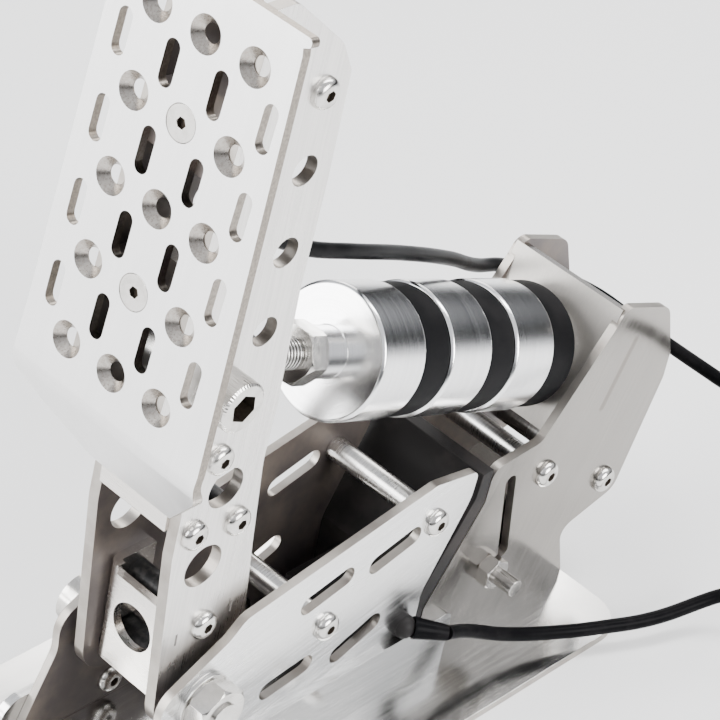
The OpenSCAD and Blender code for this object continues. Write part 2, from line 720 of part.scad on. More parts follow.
// The foot plate's side view in its own frame, as [up, out]. The front view cuts its top to length
function plate_side() = [[pad_top + 5, 0, 0], [-pad_flat, 0, 10], [lip_low, -lip_back, 0],
    [lip_low + pad_t * sin(lip_fold) * 0.6, -lip_back - pad_t * cos(lip_fold) * 1.05, 0],
    [-pad_flat + pad_t * tan(lip_fold / 2), -pad_t, 7], [pad_top + 5, -pad_t, 0]];
function plate_front() = [[-pad_left, pad_top, 3], [-pad_left, -pad_flat + 20, 0],
    [-pad_left - 1.2, -pad_flat - 9, 14], [-arm_out, lip_low + 1.5, 4], [-arm_out + 3, lip_low - 2, 0],
    [arm_out - 3, lip_low - 2, 0], [arm_out, lip_low + 1.5, 4], [pad_right_low - 0.5, -pad_flat - 4, 12],
    [pad_right_low, -pad_flat + 6, 0], [pad_right_top, pad_top - 5.6, 0],
    [pad_right_top - 0.5, pad_top - 3.4, 0], [pad_right_top + 1.7, pad_top - 2.4, 0.8],
    [pad_right_top + 1.7, pad_top, 1.4]];

module foot_plate() {
    sink_deep = (sink_d - sink_hole_d) / 2;
    half_slot = (pad_slot_l - pad_slot_w) / 2;
    color(bright) difference() {
        on_plate() difference() {
            intersection() {
                translate([-60, 0, 0]) rotate([90, 0, 90]) linear_extrude(120) polygon(rounded(plate_side()));
                translate([0, 0, -60]) linear_extrude(70) polygon(rounded(plate_front()));
            }
            for (v = [-4:2:4], u = [-1:1])
                translate([u * pitch_x, -v * pitch_row, 0]) {
                    translate([0, 0, -pad_t - 1]) cylinder(h = pad_t + 2, d = sink_hole_d, $fn = bore_n);
                    translate([0, 0, -sink_deep])
                        cylinder(h = sink_deep + 0.01, d1 = sink_hole_d, d2 = sink_d, $fn = bore_n);
                }
            for (v = [-3:2:3], u = [-1.5:1:1.5]) translate([u * pitch_x, -v * pitch_row, -pad_t - 1])
                linear_extrude(pad_t + 2) polygon(slot_outline(pad_slot_w, [0, half_slot], [0, -half_slot]));
        }
    }
}

module plate_screws() {
    head = (sink_d - 0.4 - screw_d) / 2;
    color(bright) on_plate() for (v = [-2, 2]) translate([0, v * pitch_row, 0]) difference() {
        union() {
            translate([0, 0, -head - 0.1]) cylinder(h = head, d1 = screw_d, d2 = sink_d - 0.4, $fn = screw_n);
            translate([0, 0, -pad_t - 6]) cylinder(h = 6.5, d = screw_d, $fn = screw_n);
        }
        translate([0, 0, -0.1]) socket(1.6);
    }
}

// The upper bar is deep enough to carry the load cell, the lower one is a plain square bar
module pad_bars() {
    color(steel) on_plate() for (v = [-2, 2]) difference() {
        deep = v > 0 ? bar_deep : bar_side;
        low = v > 0 ? bar_side : bar_side / 2;
        translate([-arm_in, v * pitch_row - low, -pad_t - deep]) cube([2 * arm_in, low + bar_side / 2, deep]);
        translate([0, v * pitch_row, -pad_t - 7]) cylinder(h = 8, d = screw_d + 2 * thread_gap, $fn = screw_n);
        if (v > 0) for (y = cell_tops) translate([0, y, -pad_t - deep - 1])
            cylinder(h = 11, d = cell_screw_d + 2 * thread_gap, $fn = screw_n);
    }
}

module cross_pin() {
    tip = arm_out + pin_head_l;
    deep = 5;
    color(bright) difference() {
        union() {
            across(-arm_out - pin_nut_l - 1, arm_out + 0.01, pin_d, pin_at);
            across(arm_out, tip, pin_head_d, pin_at);
        }
        translate([tip - deep, pin_at.x, pin_at.y]) rotate([0, 90, 0])
            cylinder(h = deep + 1, d = pin_socket_af / cos(30), $fn = 6);
    }
}

module pin_nut() {
    color(bright) translate([-arm_out - pin_nut_l, pin_at.x, pin_at.y]) rotate([0, 90, 0])
        hex_nut(nut_af, pin_d + 2 * thread_gap, pin_nut_l);
}

module load_cell() {
    color(bright) on_plate() difference() {
        translate([-cell_w / 2, cell_low, cell_front - cell_w]) cube([cell_w, cell_top - cell_low, cell_w]);
        for (y = cell_bores) translate([-cell_w, y, cell_front - cell_w / 2]) rotate([0, 90, 0])
            cylinder(h = 2 * cell_w, d = cell_bore_d, $fn = bore_n);
        translate([-cell_w, cell_bores[0], cell_front - cell_w / 2 - 1])
            cube([2 * cell_w, cell_bores[1] - cell_bores[0], 2]);
        for (y = concat(cell_tops, cell_lows)) translate([0, y, cell_front - cell_w - 1])
            cylinder(h = cell_w + 2, d = cell_screw_d + 2 * thread_gap, $fn = screw_n);
    }
}

// A fork that hangs from the load cell and holds the cross screw on both sides of the rod's eye
module cell_yoke() {
    low = cell_low + 1;
    top = cell_low + 15;
    reach = pin_d / 2 + 5.2;
    leg = [[top, yoke_front, 0], [top, cell_front, 0], [cell_low + 0.5, cell_front, 0],
        [pin_pad.x + reach - 0.6, pin_pad.y - reach, 9], [pin_pad.x - reach, pin_pad.y - reach, 9.6],
        [pin_pad.x - reach, pin_pad.y + reach, 9.6]];
    color(bright) difference() {
        on_plate() difference() {
            union() {
                translate([-yoke_out, low, cell_front]) cube([2 * yoke_out, top - low, yoke_front - cell_front]);
                for (x = [-yoke_out, yoke_in]) translate([x, 0, 0]) rotate([90, 0, 90])
                    linear_extrude(yoke_out - yoke_in) polygon(rounded(leg));
            }
            for (y = cell_lows) translate([0, y, cell_front - 1])
                cylinder(h = 11, d = cell_screw_d + 2 * thread_gap, $fn = screw_n);
        }
        across(-arm_in, arm_in, pin_d + 2 * thread_gap, pin_at);
    }
}

module cell_screws() {
    color(dark) on_plate() for (y = concat(cell_tops, cell_lows))
        translate([0, y, cell_front - cell_w]) difference() {
            union() {
                translate([0, 0, -4]) cylinder(h = 4, d = 7, $fn = screw_n);
                cylinder(h = cell_w + 8, d = cell_screw_d, $fn = screw_n);
            }
            translate([0, 0, -5]) cylinder(h = 3, d = socket_af / cos(30), $fn = 6);
        }
}

module cell_gland() {
    color(black) on_plate() translate([0, cell_gland_up, cell_front - cell_w - cell_gland_l])
        cylinder(h = cell_gland_l, d1 = lead_d + 1.2, d2 = 8, $fn = bore_n);
}

// Push rod and what rides on it

module push_rod() {
    color(bright) difference() {
        union() {
            across(-eye_w / 2, eye_w / 2, eye_d, pin_at);
            on_rod(eye_d / 2 - 2) cylinder(h = 20, d = 14, $fn = bore_n);
            on_rod(eye_d / 2) cylinder(h = rod_end - eye_d / 2, d = rod_d, $fn = bore_n);
        }
        across(-eye_w, eye_w, pin_d + 2 * fit_gap, pin_at);
    }
}

module jam_nut() {
    color(bright) on_rod(stack_at - boss_l - nut_l) hex_nut(nut_af, rod_d + 2 * thread_gap, nut_l);
}

// A turned disc with broken edges and, where asked for, a boss on its front face
module turned_disc(boss = 0) {
    edge = 0.8;
    bore = rod_d / 2 + fit_gap;
    front = boss > 0 ? [[bore, -boss], [boss_d / 2, -boss], [boss_d / 2, 0]] : [[bore, 0]];
    rotate_extrude($fn = 2 * bore_n) polygon(concat(front, [[disc_d / 2 - edge, 0], [disc_d / 2, edge],
        [disc_d / 2, disc_l - edge], [disc_d / 2 - edge, disc_l], [bore, disc_l]]));
}

module disc_1() {
    color(bright) on_rod(disc_at[0]) turned_disc(boss_l);
}

module preload_washer() {
    color(bright) on_rod(washer_at) ring(washer_d, rod_d + 2 * thread_gap, washer_l);
}

module preload_nut() {
    color(bright) on_rod(nut_at) hex_nut(nut_af, rod_d + 2 * thread_gap, nut_l);
}

module rubber() {
    edge = 1.2;
    rotate_extrude($fn = 2 * bore_n) polygon([[rod_d / 2 + 0.3, stack_gap], [rubber_d / 2 - edge, stack_gap],
        [rubber_d / 2 - edge * 0.3, edge * 0.3], [rubber_d / 2, edge], [rubber_d / 2, rubber_l - edge],
        [rubber_d / 2 - edge * 0.3, rubber_l - edge * 0.3], [rubber_d / 2 - edge, rubber_l - stack_gap],
        [rod_d / 2 + 0.3, rubber_l - stack_gap]]);
}

module rubber_1() {
    color(black) on_rod(rubber_at[0]) rubber();
}

module disc_2() {
    color(bright) on_rod(disc_at[1]) turned_disc();
}

module rubber_2() {
    color(black) on_rod(rubber_at[1]) rubber();
}

module disc_3() {
    color(bright) on_rod(disc_at[2]) turned_disc();
}

module rubber_3() {
    color(black) on_rod(rubber_at[2]) rubber();
}

module rear_hub() {
    bore = rod_d / 2 + fit_gap;
    back = hub_at - nose_at;
    color(bright) on_rod(nose_at) rotate_extrude($fn = bore_n) polygon(concat(
        [[bore, back], [hub_d / 2, back], [hub_d / 2, back + hub_l]],
        ball(nose_r, acos((back + hub_l) / nose_r), asin(bore / nose_r))));
}

floor_plate();
base_channel();
left_cheek();
right_cheek();
cheek_spacers();
cheek_screws();
foot_screws();
rear_bracket();
bracket_spacers();
bracket_screws();
bracket_bolt();
bracket_nut();
bracket_foot_screws();
bracket_pad();
rod_seat();
pivot_bolt();
pivot_nut();
pivot_washers();
amplifier_box();
lead_gland();
lead_boot();
lead();
left_arm_plate();
right_arm_plate();
arm_sleeve();
arm_spacers();
arm_screws();
front_web();
lip_block();
foot_plate();
plate_screws();
pad_bars();
cross_pin();
pin_nut();
load_cell();
cell_yoke();
cell_screws();
cell_gland();
push_rod();
jam_nut();
disc_1();
preload_washer();
preload_nut();
rubber_1();
disc_2();
rubber_2();
disc_3();
rubber_3();
rear_hub();
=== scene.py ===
import json
import math
import bmesh
import bpy
from mathutils import Euler, Matrix, Vector


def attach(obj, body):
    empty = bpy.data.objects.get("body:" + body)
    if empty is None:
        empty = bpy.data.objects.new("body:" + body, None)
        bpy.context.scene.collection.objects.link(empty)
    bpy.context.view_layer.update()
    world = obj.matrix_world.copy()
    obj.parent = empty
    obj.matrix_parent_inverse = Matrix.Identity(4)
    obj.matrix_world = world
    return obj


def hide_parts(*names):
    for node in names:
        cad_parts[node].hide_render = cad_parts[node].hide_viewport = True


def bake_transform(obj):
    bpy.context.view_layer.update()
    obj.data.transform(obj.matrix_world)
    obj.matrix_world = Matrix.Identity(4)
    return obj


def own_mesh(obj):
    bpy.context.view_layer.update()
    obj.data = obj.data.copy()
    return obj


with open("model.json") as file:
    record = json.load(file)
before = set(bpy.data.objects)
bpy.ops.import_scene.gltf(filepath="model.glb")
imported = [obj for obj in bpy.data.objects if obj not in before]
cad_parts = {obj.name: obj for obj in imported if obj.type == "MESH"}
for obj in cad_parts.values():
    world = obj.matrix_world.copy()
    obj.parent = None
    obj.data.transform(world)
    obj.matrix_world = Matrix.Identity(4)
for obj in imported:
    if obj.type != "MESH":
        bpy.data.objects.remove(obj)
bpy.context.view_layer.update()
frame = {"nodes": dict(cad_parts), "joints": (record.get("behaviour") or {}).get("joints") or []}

# Camera.
# The view from the front right and above, with a long lens as in a product picture.
# The three angles and the place put the foot plate's holes where the picture has them.
camera_place = (0.43149, -0.57135, 0.64366)
camera_turn = [math.radians(angle) for angle in (53.430, -9.641, 44.184)]
bpy.ops.object.camera_add(location=camera_place, rotation=camera_turn)
camera = bpy.context.object
camera.name = "product_camera"
camera.data.sensor_width = 36
camera.data.lens = 147.5
camera.data.clip_start = 0.01
camera.data.dof.use_dof = False
bpy.context.scene.camera = camera


# Sensor lead.
# A 4.8 mm black round cable. It leaves the load cell in the arm, goes round the left of the rear
# bracket, crosses behind it and comes back along the floor plate to the boot on the right cheek.
class Wire:
    """One value in a shader, so that the mixing of a finish reads like plain sums."""

    def __init__(self, tree, socket=None):
        self.tree, self.socket = tree, socket

    def feed(self, target, value):
        if isinstance(value, Wire):
            self.tree.links.new(value.socket, target)
        else:
            target.default_value = value

    def node(self, kind, settings, sockets, out=0):
        """Adds a node: first its settings, then the values or wires of its sockets."""
        made = self.tree.nodes.new("ShaderNode" + kind)
        for setting, value in settings.items():
            setattr(made, setting, value)
        for which, value in sockets.items():
            self.feed(made.inputs[which], value)
        return Wire(self.tree, made.outputs[out])

    def maths(self, kind, *values):
        return self.node("Math", {"operation": kind}, dict(enumerate(values)))

    def __add__(self, other):
        return self.maths("ADD", self, other)

    def __radd__(self, other):
        return self.maths("ADD", other, self)

    def __sub__(self, other):
        return self.maths("SUBTRACT", self, other)

    def __rsub__(self, other):
        return self.maths("SUBTRACT", other, self)

    def __mul__(self, other):
        return self.maths("MULTIPLY", self, other)

    def __pow__(self, other):
        return self.maths("POWER", self, other)

    def larger(self, other):
        return self.maths("MAXIMUM", self, other)

    def size(self):
        return self.maths("ABSOLUTE", self)

    def fade(self, low, high, start=0.0, end=1.0):
        """Goes softly from start to end as the value goes from low to high."""
        return self.node("MapRange", {"interpolation_type": "SMOOTHSTEP"},
                         dict(enumerate((self, low, high, start, end))))

    def axis(self, which):
        """The x, y or z of a place, as 0, 1 or 2."""
        return self.node("SeparateXYZ", {}, {0: self}, which)

    def beside(self, y, z):
        """A place whose x is this value."""
        return self.node("CombineXYZ", {}, {0: self, 1: y, 2: z})

    def noise(self, scale=1.0, detail=2.0, rough=0.5):
        """Clouds at this place, with so many to the metre."""
        sockets = {"Vector": self, "Scale": scale, "Detail": detail, "Roughness": rough}
        return self.node("TexNoise", {}, sockets)

    def specks(self, scale):
        """Small round cells at this place: the distance from the nearest cell's middle."""
        return self.node("TexVoronoi", {"feature": "F1"}, {"Vector": self, "Scale": scale}, "Distance")

    def between(self, first, second):
        """A colour that goes from the first to the second as this share goes from 0 to 1."""
        first, second = [c if isinstance(c, Wire) else (*c, 1.0) for c in (first, second)]
        return self.node("Mix", {"data_type": "RGBA"}, {0: self, 6: first, 7: second}, 2)


class Finish:
    """A procedural surface. Its patterns follow the object's own coordinates, in metres."""

    def __init__(self, name, metallic=0.0, specular=0.5, roughness=0.5):
        self.material = bpy.data.materials.new(name)
        self.material.use_nodes = True
        self.start = Wire(self.material.node_tree)
        self.inputs = self.material.node_tree.nodes["Principled BSDF"].inputs
        self.inputs["Metallic"].default_value = metallic
        self.inputs["Specular IOR Level"].default_value = specular
        self.inputs["Roughness"].default_value = roughness

    def at(self, middle=(0, 0, 0), turn=(0, 0, 0), scale=(1, 1, 1)):
        """Places on the piece, counted from the middle, then turned back and stretched."""
        place = self.start.node("TexCoord", {}, {}, "Object")
        place = place.node("Mapping", {}, {"Vector": place, "Location": [-v for v in middle]})
        place = place.node("Mapping", {}, {"Vector": place, "Rotation": [-math.radians(a) for a in turn]})
        return place.node("Mapping", {}, {"Vector": place, "Scale": scale})

    def colour(self, value):
        self.start.feed(self.inputs["Base Color"], value)

    def rough(self, value):
        self.start.feed(self.inputs["Roughness"], value)

    def relief(self, height, depth, strength=1.0):
        bump = height.node("Bump", {}, {"Strength": strength, "Distance": depth, "Height": height})
        self.start.feed(self.inputs["Normal"], bump)

    def on(self, piece):
        if piece.data.materials:
            piece.data.materials[0] = self.material
        else:
            piece.data.materials.append(self.material)


def alone(piece):
    """Makes the piece the only one selected, and the active one."""
    bpy.ops.object.select_all(action="DESELECT")
    piece.select_set(True)
    bpy.context.view_layer.objects.active = piece


jacket = Finish("cable_jacket", specular=0.03)
jacket_grain = jacket.at().noise(2600, 3, 0.6)
scuffs = jacket.at().noise(90, 4, 0.65).fade(0.45, 0.75)
jacket.colour(scuffs.between((0.003, 0.003, 0.0035), (0.009, 0.0085, 0.009)))
jacket.rough(0.28 + jacket_grain * 0.08 + scuffs * 0.12)
jacket.relief(jacket_grain, 0.00002, 0.3)

# The places on the lead's middle line are in millimetres.
gland_exit = (0, -54.73, 190.38)
lead_way = [(0, -46, 185), (0, -36, 179), (-2, -13, 168), (-9, 19, 151), (-19, 59, 127.5), (-26, 85, 110.5),
            (-28.5, 101, 103), (-30, 118, 93), (-28, 134, 86), (-19, 146, 80), (-5, 152, 75), (10, 154, 73),
            (32, 155, 72), (50, 156, 71), (68, 156, 62), (79, 151, 46), (80, 143, 30), (76, 135, 19),
            (70, 128, 14), (62, 106, 10), (54, 88, 9.5), (47.5, 74, 10), (40, 54, 14), (35.5, 39, 20)]
boot_mouth = (34.92, 28.11, 24.56)
lead_radius = 0.0024
stops = [gland_exit] + lead_way + [boot_mouth]
curve = bpy.data.curves.new("sensor_lead", "CURVE")
curve.dimensions = "3D"
curve.resolution_u = 10
curve.bevel_depth = lead_radius
curve.bevel_resolution = 6
curve.use_fill_caps = True
line = curve.splines.new("BEZIER")
line.bezier_points.add(len(stops) - 1)
for knot, stop in zip(line.bezier_points, stops):
    knot.co = [v / 1000 for v in stop]
    knot.handle_left_type = knot.handle_right_type = "AUTO"
lead = bpy.data.objects.new("sensor_lead", curve)
core = bpy.data.objects.new("lead_core", curve.copy())
core.data.bevel_depth = 0
for tube in (core, lead):
    bpy.context.collection.objects.link(tube)
    alone(tube)
    bpy.ops.object.convert(target="MESH")
bpy.data.objects.remove(core, do_unlink=True)
alone(lead)
bpy.ops.object.shade_smooth_by_angle(angle=math.radians(60))
jacket.on(lead)
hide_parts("lead")
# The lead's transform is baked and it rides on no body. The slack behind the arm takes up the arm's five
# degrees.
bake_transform(lead)

# Studio.
# A pale seamless floor with soft light from wide lamps, and a room that is bright above and dark at
# eye level, so that the polished faces show soft dark bands. Nothing here belongs to the pedal.
bpy.ops.mesh.primitive_plane_add(size=60, location=(0, 0, 0))
floor = bpy.context.object
floor.name = "studio_floor"
paper = Finish("studio_paper", specular=0.2, roughness=0.85)
paper.colour(paper.at().noise(6, 2).between((0.87, 0.87, 0.87), (0.92, 0.92, 0.915)))
paper.on(floor)

world = bpy.data.worlds.new("studio_room")
bpy.context.scene.world = world
world.use_nodes = True
room_light = world.node_tree.nodes["Background"].inputs
room_light["Color"].default_value = (0.93, 0.95, 1.0, 1)
gaze = Wire(world.node_tree).node("TexCoord", {}, {}, "Generated")
bright_above = gaze.axis(2).fade(0.14, 0.48, 0.02, 1.0)
# The camera itself sees a pale wall behind the floor. Only reflections see the dark band.
pale_wall = gaze.node("LightPath", {}, {}, "Is Camera Ray") * 0.8
gaze.feed(room_light["Strength"], bright_above.larger(pale_wall))


def lamp(name, place, aim, wide, high, power, tint=(1, 1, 1)):
    bpy.ops.object.light_add(type="AREA", location=place)
    light = bpy.context.object
    light.name = name
    light.data.shape = "RECTANGLE"
    light.data.size, light.data.size_y = wide, high
    light.data.energy = power
    light.data.color = tint
    light.rotation_euler = (Vector(aim) - Vector(place)).to_track_quat("-Z", "Y").to_euler()


lamp("front_softbox", (-0.5, -1.3, 0.9), (0, -0.05, 0.15), 1.2, 0.9, 34)
lamp("side_softbox", (1.3, 0.1, 0.75), (0, 0, 0.1), 0.9, 0.7, 32)
lamp("top_strip", (0.1, 0.4, 1.2), (0, 0.05, 0.1), 0.25, 1.2, 14)
lamp("low_card", (-0.85, -1.45, 0.2), (0, 0, 0.12), 0.7, 0.35, 9)
lamp("back_softbox", (-0.9, 0.9, 0.8), (0, 0, 0.1), 0.8, 0.6, 10, (1, 0.97, 0.93))

# Floor plate.
# A flat 3 mm stainless sheet, laser cut with round corners and four slots for the deck screws.
# It is brushed along its length and its edges are lightly broken.


def steel_sheet(name, tint, grain, turn=(0, 0, 0), base_rough=0.24, streaks=1.0):
    """Brushed stainless sheet. The grain is in lines per metre along each axis: few along the brushing."""
    finish = Finish(name, metallic=1.0)
    lines = finish.at(turn=turn, scale=grain).noise(1.0, 4, 0.62)
    bands = finish.at(turn=turn, scale=[g * 0.11 for g in grain]).noise(1.0, 3, 0.6).fade(0.35, 0.65)
    smears = finish.at().noise(38, 4, 0.6).fade(0.38, 0.68)
    dust = 1.0 - finish.at().specks(900).fade(0.0, 0.22)
    pale = [min(1.0, c * (1 + 0.1 * streaks)) for c in tint]
    deep = [c * (1 - 0.13 * streaks) for c in tint]
    worn = [c * 0.93 for c in tint]
    streaked = lines.fade(0.3, 0.7).between(deep, pale)
    finish.colour((bands * 0.35 + dust * 0.05).between(streaked, worn))
    finish.rough(base_rough + lines.fade(0.25, 0.75) * (0.10 * streaks) + smears * 0.07)
    finish.relief(lines, 0.00001, 0.3 * streaks)
    return finish


def worked(node, edge, steps=2):
    """A copy of a CAD node with its doubles merged, its flat faces joined and its edges broken."""
    source = frame["nodes"][node]
    piece = bpy.data.objects.new(node + "_worked", source.data.copy())
    piece.data.materials.clear()
    bpy.context.collection.objects.link(piece)
    alone(piece)
    bpy.ops.object.mode_set(mode="EDIT")
    bpy.ops.mesh.select_all(action="SELECT")
    bpy.ops.mesh.remove_doubles(threshold=0.00001)
    bpy.ops.mesh.dissolve_limited(angle_limit=math.radians(0.3))
    bpy.ops.object.mode_set(mode="OBJECT")
    bevel = piece.modifiers.new("broken edge", "BEVEL")
    bevel.width = edge
    bevel.segments = steps
    bevel.limit_method = "ANGLE"
    bevel.angle_limit = math.radians(28)
    bevel.use_clamp_overlap = True
    bpy.ops.object.modifier_apply(modifier=bevel.name)
    bpy.ops.object.shade_smooth_by_angle(angle=math.radians(32))
    even = piece.modifiers.new("flat faces", "WEIGHTED_NORMAL")
    even.keep_sharp = True
    bpy.ops.object.modifier_apply(modifier=even.name)
    return piece


def give(piece, name, body, finish, slot, *nodes):
    """Names a finished piece, gives it its finish, sets what it rides on and hides the CAD parts it stands
    for. The slot is not used.
    """
    piece.name = piece.data.name = name
    finish.on(piece)
    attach(piece, body)
    if nodes:
        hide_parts(*nodes)
    return piece


def edged(piece, finish, test):
    """Gives the faces whose middle and normal pass the test a further finish, such as a laser cut edge."""
    piece.data.materials.append(finish.material)
    for polygon in piece.data.polygons:
        if test(polygon.center, polygon.normal):
            polygon.material_index = len(piece.data.materials) - 1


cut_edge = Finish("laser_cut_edge", metallic=1.0)
cut_lines = cut_edge.at().noise(1900, 3, 0.6)
cut_smoke = cut_edge.at().noise(75, 3).fade(0.35, 0.7)
cut_edge.colour(cut_smoke.between((0.47, 0.44, 0.405), (0.33, 0.30, 0.27)))
cut_edge.rough(0.3 + cut_lines * 0.16)
cut_edge.relief(cut_lines, 0.00004, 0.5)

sheet_tint = (0.84, 0.835, 0.82)
floor_steel = steel_sheet("floor_plate_steel", sheet_tint, (1500, 26, 1500), base_rough=0.12, streaks=0.6)
floor_sheet = give(worked("floor_plate", edge=0.0003), "floor_plate_sheet", "base", floor_steel,
                   "sheet_steel", "floor_plate")
edged(floor_sheet, cut_edge, lambda middle, normal: abs(normal.z) < 0.5)

# Channel.
# The folded channel that the cheeks stand in, 3 mm stainless sheet.
# Its two low upstands are screwed to the cheeks from inside.
channel_steel = steel_sheet("channel_steel", sheet_tint, (1400, 30, 1400), base_rough=0.12, streaks=0.6)
give(worked("base_channel", edge=0.0003), "channel_sheet", "base", channel_steel, "sheet_steel",
     "base_channel")

# Cheeks.
# Two slotted 3 mm side plates, laser cut from stainless sheet, round at the pivot and brushed along
# their slope. The faces that look inwards are not brushed and are painted dark brown as painted shade.
# Painted shade: a dark brown finish for faces that look into the pedal, where shade falls between the
# plates.
painted_inner_shade = Finish("painted_inner_shade", metallic=0.45)
inner_shade_mottle = painted_inner_shade.at().noise(42, 4, 0.6).fade(0.38, 0.7)
painted_inner_shade.colour(inner_shade_mottle.between((0.11, 0.094, 0.09), (0.20, 0.166, 0.14)))
painted_inner_shade.rough(0.30 + inner_shade_mottle * 0.16)


def looks_inwards(middle, normal):
    return normal.x * middle.x < -0.5 * abs(middle.x)


def is_sheet_edge(middle, normal):
    return abs(normal.x) < 0.5


cheek_steel = steel_sheet("cheek_steel", (0.93, 0.925, 0.91), (1500, 34, 1500), turn=(12, 0, 0),
                          base_rough=0.15)
for side in ("left_cheek", "right_cheek"):
    cheek = give(worked(side, edge=0.00025), side + "_plate", "base", cheek_steel, "sheet_steel", side)
    edged(cheek, cut_edge, is_sheet_edge)
    edged(cheek, painted_inner_shade, looks_inwards)

# Rear bracket.
# Folded 3 mm stainless sheet with a thicker web square to the push rod, a long slot in its right flange
# and two feet screwed to the floor plate. The web's seam shows on the outside as a faint line.
toward_discs = Vector((0, -0.9336, 0.3584))
# Painted shade: the bracket's brushed sheet is tinted far darker than the other sheets, standing in for the
# dark reflections on it.
bracket_shaded_steel = steel_sheet("bracket_shaded_steel", (0.33, 0.31, 0.286), (1400, 1400, 34), turn=(-21, 0, 0),
                            base_rough=0.14, streaks=0.5)
seam_middle = (0, 0.1058, 0.0894)
seam_half_length = 0.0129
outer_face_from, outer_face_full = 0.0232, 0.0238
by_seam = bracket_shaded_steel.at(middle=seam_middle, turn=(-20.9, 0, 0))
past_end = (by_seam.axis(2).size() - seam_half_length).larger(0.0)
from_seam = (by_seam.axis(1).size() ** 2.0 + past_end ** 2.0) ** 0.5
seam = from_seam.fade(0.0019, 0.0006) * by_seam.axis(0).size().fade(outer_face_from, outer_face_full)
brushed = Wire(seam.tree, bracket_shaded_steel.inputs["Base Color"].links[0].from_socket)
bracket_shaded_steel.colour((seam * 0.8).between(brushed, (0.20, 0.175, 0.155)))
web_face = steel_sheet("bracket_web_steel", (0.66, 0.63, 0.59), (1400, 1400, 34), base_rough=0.42,
                       streaks=0.3)


def is_flange_edge(middle, normal):
    return is_sheet_edge(middle, normal) and abs(middle.x) > 0.0212


def is_flange_inside(middle, normal):
    return looks_inwards(middle, normal) and abs(middle.x) > 0.02


def is_web_front(middle, normal):
    return abs(middle.x) < 0.021 and middle.z > 0.05 and normal.dot(toward_discs) > 0.8


bracket = give(worked("rear_bracket", edge=0.0003), "bracket_sheet", "base", bracket_shaded_steel, "sheet_steel",
               "rear_bracket")
edged(bracket, cut_edge, is_flange_edge)
# The insides of the flanges get the dark brown painted shade.
edged(bracket, painted_inner_shade, is_flange_inside)
edged(bracket, web_face, is_web_front)

# Spacers and washers.
# Turned 8 mm stainless bars between the cheeks and between the bracket's flanges, tapped M5 at both
# ends. The pivot washers are bright too. The arm's sleeve and spacers, inside the arm, are blacked.
turned_steel = Finish("turned_steel", metallic=1.0)
rings = turned_steel.at(scale=(2600, 120, 120)).noise(1.0, 3, 0.6)
haze = turned_steel.at().noise(60, 3).fade(0.4, 0.7)
turned_steel.colour(rings.fade(0.3, 0.7).between((0.56, 0.55, 0.53), (0.74, 0.73, 0.71)))
turned_steel.rough(0.2 + rings * 0.1 + haze * 0.08)
turned_steel.relief(rings, 0.00001, 0.3)
for node in ("cheek_spacers", "bracket_spacers", "pivot_washers"):
    give(worked(node, edge=0.0002), node + "_turned", "base", turned_steel, "bright_steel", node)
oxide = Finish("black_oxide", metallic=0.6)
oxide.colour(oxide.at().noise(600, 3).fade(0.4, 0.7).between((0.012, 0.012, 0.013), (0.035, 0.033, 0.032)))
oxide.rough(0.38 + oxide.at().noise(1400, 3) * 0.16)
for node in ("arm_sleeve", "arm_spacers"):
    give(worked(node, edge=0.0002), node + "_blacked", "pedal_arm", oxide, "black_oxide", node)

# Button screws.
# M5 button head screws with a 3 mm hexagon socket, cold formed in stainless. They hold the cheeks, the
# channel, the bracket and the arm together. One is modelled and copied to each place.
fastener = Finish("fastener_stainless", metallic=1.0)
grease = fastener.at().noise(210, 4, 0.6).fade(0.4, 0.7)
tumbled = fastener.at().noise(2200, 3, 0.7)
fastener.colour(grease.between((0.70, 0.68, 0.65), (0.55, 0.53, 0.50)))
fastener.rough(0.14 + tumbled * 0.08 + grease * 0.08)
fastener.relief(tumbled, 0.00001, 0.2)
# Painted shade for the walls and bottoms of screw sockets.
socket_shade = Finish("socket_shade", metallic=0.8)
socket_shade.colour(socket_shade.at().noise(900, 2).between((0.035, 0.028, 0.022), (0.10, 0.08, 0.06)))
socket_shade.rough(0.35 + socket_shade.at().noise(2000, 2) * 0.2)


def ring_faces(piece, test):
    """In edit mode, selects only the faces whose middle and normal pass the test."""
    bpy.ops.mesh.select_all(action="DESELECT")
    shape = bmesh.from_edit_mesh(piece.data)
    for face in shape.faces:
        if test(face.calc_center_median(), face.normal):
            face.select_set(True)
    bmesh.update_edit_mesh(piece.data)


def looks_up(middle, normal):
    return normal.z > 0.9


def looks_down(middle, normal):
    return normal.z < -0.9


def blank(radius, high, sides):
    """Starts a screw's head as a short bar that stands on the origin, and opens it in edit mode."""
    bpy.ops.object.select_all(action="DESELECT")
    middle = (0, 0, high / 2)
    bpy.ops.mesh.primitive_cylinder_add(vertices=sides, radius=radius, depth=high, location=middle)
    bpy.ops.object.transform_apply(location=True)
    bpy.ops.object.mode_set(mode="EDIT")
    bpy.ops.mesh.select_mode(type="FACE")
    return bpy.context.object


def draw_shank(piece, head, thick, long):
    """In edit mode, draws the shank down out of the head's underside."""
    ring_faces(piece, looks_down)
    bpy.ops.mesh.inset(thickness=head - thick, depth=0)
    bpy.ops.mesh.extrude_region_move(TRANSFORM_OT_translate={"value": (0, 0, -long)})


def socket_cut(piece, across_flats, deep, top):
    """Cuts a hexagon socket down from the height top. Its walls and bottom are painted dark as painted
    shade.
    """
    corner = across_flats / math.sqrt(3)
    bpy.ops.mesh.primitive_cylinder_add(vertices=6, radius=corner, depth=2 * deep, location=(0, 0, top))
    tool = bpy.context.object
    alone(piece)
    cut = piece.modifiers.new("socket", "BOOLEAN")
    cut.operation = "DIFFERENCE"
    cut.solver = "EXACT"
    cut.object = tool
    bpy.ops.object.modifier_apply(modifier=cut.name)
    bpy.data.objects.remove(tool, do_unlink=True)
    fastener.on(piece)
    edged(piece, socket_shade, lambda middle, normal: middle.xy.length < across_flats * 0.56
          and top - deep - 0.0001 < middle.z < top - 0.00002)


